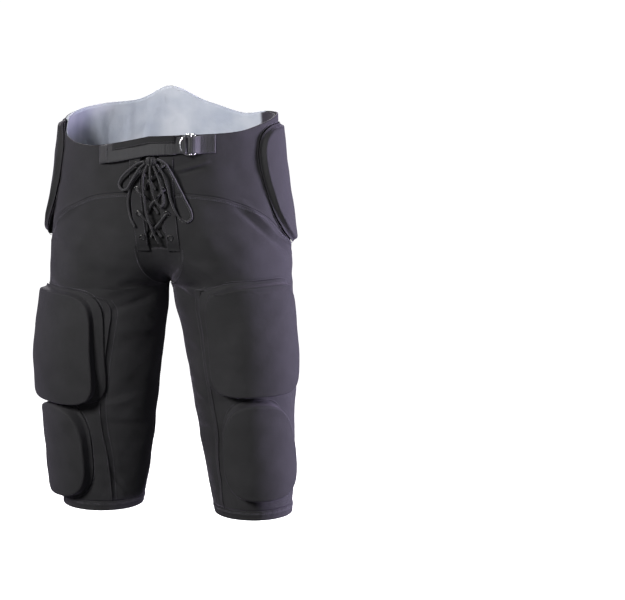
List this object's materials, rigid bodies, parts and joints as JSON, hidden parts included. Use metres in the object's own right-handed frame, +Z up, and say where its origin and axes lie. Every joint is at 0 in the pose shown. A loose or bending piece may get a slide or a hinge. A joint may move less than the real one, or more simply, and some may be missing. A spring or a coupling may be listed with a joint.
{
  "type": "integrated football pants",
  "caption": "Knee-length stretch knit football pants with sewn-in hip, tail, thigh and knee pads, a laced fly and a waist strap with D-rings, shown as worn.",
  "frame": {"origin": "middle of the waist opening, at the height of its rim at the sides, where a wearer's waist holds the pants up", "axes": "+Z up along the body, -Y the wearer's front, +X the wearer's left"},
  "size_m": [0.3731, 0.2492, 0.5821],
  "materials": {
    "knit": "charcoal black stretch knit, matt with a slight sheen",
    "pad_cloth": "black knit stretched over foam pads",
    "lining": "pale bluish grey to white smooth lining",
    "webbing": "black woven waist strap",
    "lace": "round black braided lace",
    "eyelet_black": "black lacquered brass, worn bright on the edge",
    "nickel": "bright nickel plated steel"
  },
  "bodies": {
    "root": {"leg_panel_left": "knit", "leg_panel_right": "knit", "hip_yoke_left": "knit", "hip_yoke_right": "knit", "seat_panel": "knit", "leg_hem_left": "knit", "leg_hem_right": "knit", "fly_placket_left": "knit", "fly_placket_right": "knit", "fly_gore": "knit", "hip_pad_left": "pad_cloth", "hip_pad_right": "pad_cloth", "thigh_pad_left": "pad_cloth", "thigh_pad_right": "pad_cloth", "knee_pad_left": "pad_cloth", "knee_pad_right": "pad_cloth", "tail_pad": "pad_cloth", "waist_lining": "lining", "belt_strap": "webbing", "belt_tab": "webbing", "lace_knot": "lace", "lace_loop_left": "lace", "lace_loop_middle": "lace", "lace_loop_right": "lace", "lace_end_left": "lace", "lace_end_right": "lace", "lace_under_1": "lace", "lace_under_2": "lace", "lace_under_3": "lace", "lace_over_1": "lace", "lace_over_2": "lace", "lace_over_3": "lace", "belt_ring_inner": "nickel", "belt_ring_outer": "nickel", "eyelet_left_1": "eyelet_black", "eyelet_left_2": "eyelet_black", "eyelet_left_3": "eyelet_black", "eyelet_left_4": "eyelet_black", "eyelet_right_1": "eyelet_black", "eyelet_right_2": "eyelet_black", "eyelet_right_3": "eyelet_black", "eyelet_right_4": "eyelet_black"}
  },
  "joints": []
}
